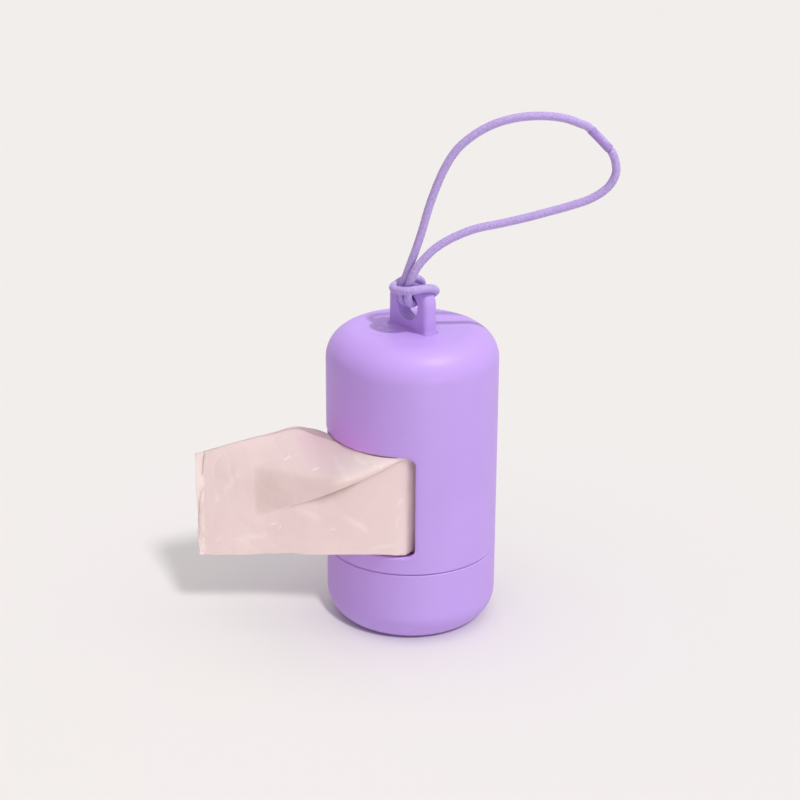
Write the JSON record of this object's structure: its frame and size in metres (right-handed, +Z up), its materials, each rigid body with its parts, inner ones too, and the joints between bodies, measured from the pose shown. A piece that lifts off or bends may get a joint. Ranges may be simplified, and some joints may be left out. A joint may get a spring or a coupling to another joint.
{
  "type": "dog poop bag dispenser",
  "caption": "Upright round dispenser for a refill roll of dog waste bags: window with film drawn out of it, push-fit base cap, hanging lug and elastic cord loop.",
  "frame": {"origin": "centre of the flat underside of the base cap", "axes": "+Z up along the body's axis; the middle of the window faces -Y; the hanging lug's broad faces look along +Y and -Y"},
  "size_m": [0.0619, 0.0818, 0.1292],
  "materials": {
    "lilac_plastic": "satin moulded",
    "bag_film": "soft crinkled film",
    "core_paper": "raw paperboard",
    "cord_fabric": "fine braid over an elastic core"
  },
  "bodies": {
    "base": {"base_cap": "lilac_plastic"},
    "shell": {"body_shell": "lilac_plastic", "hang_lug": "lilac_plastic", "cord_loop": "cord_fabric", "cord_hitch": "cord_fabric", "cord_sleeve": "cord_fabric"},
    "roll": {"roll_core": "core_paper", "bag_roll": "bag_film"},
    "bag": {"lead_bag": "bag_film"}
  },
  "joints": [
    {"name": "shell_lift", "type": "slide", "parent": "base", "child": "shell", "axis": [0, 0, 1], "range_m": [0, 0.012]},
    {"name": "roll_spin", "type": "hinge", "parent": "base", "child": "roll", "pos_m": [0, 0, 0.0337], "axis": [0, 0, 1], "range_deg": [-925, 0]},
    {"name": "bag_pull", "type": "slide", "parent": "shell", "child": "bag", "axis": [-0.6947, -0.7193, 0], "range_m": [0, 0.25]}
  ],
  "couplings": [
    {"joint": "roll_spin", "follows": "bag_pull", "rad_per_m": -64.516}
  ]
}
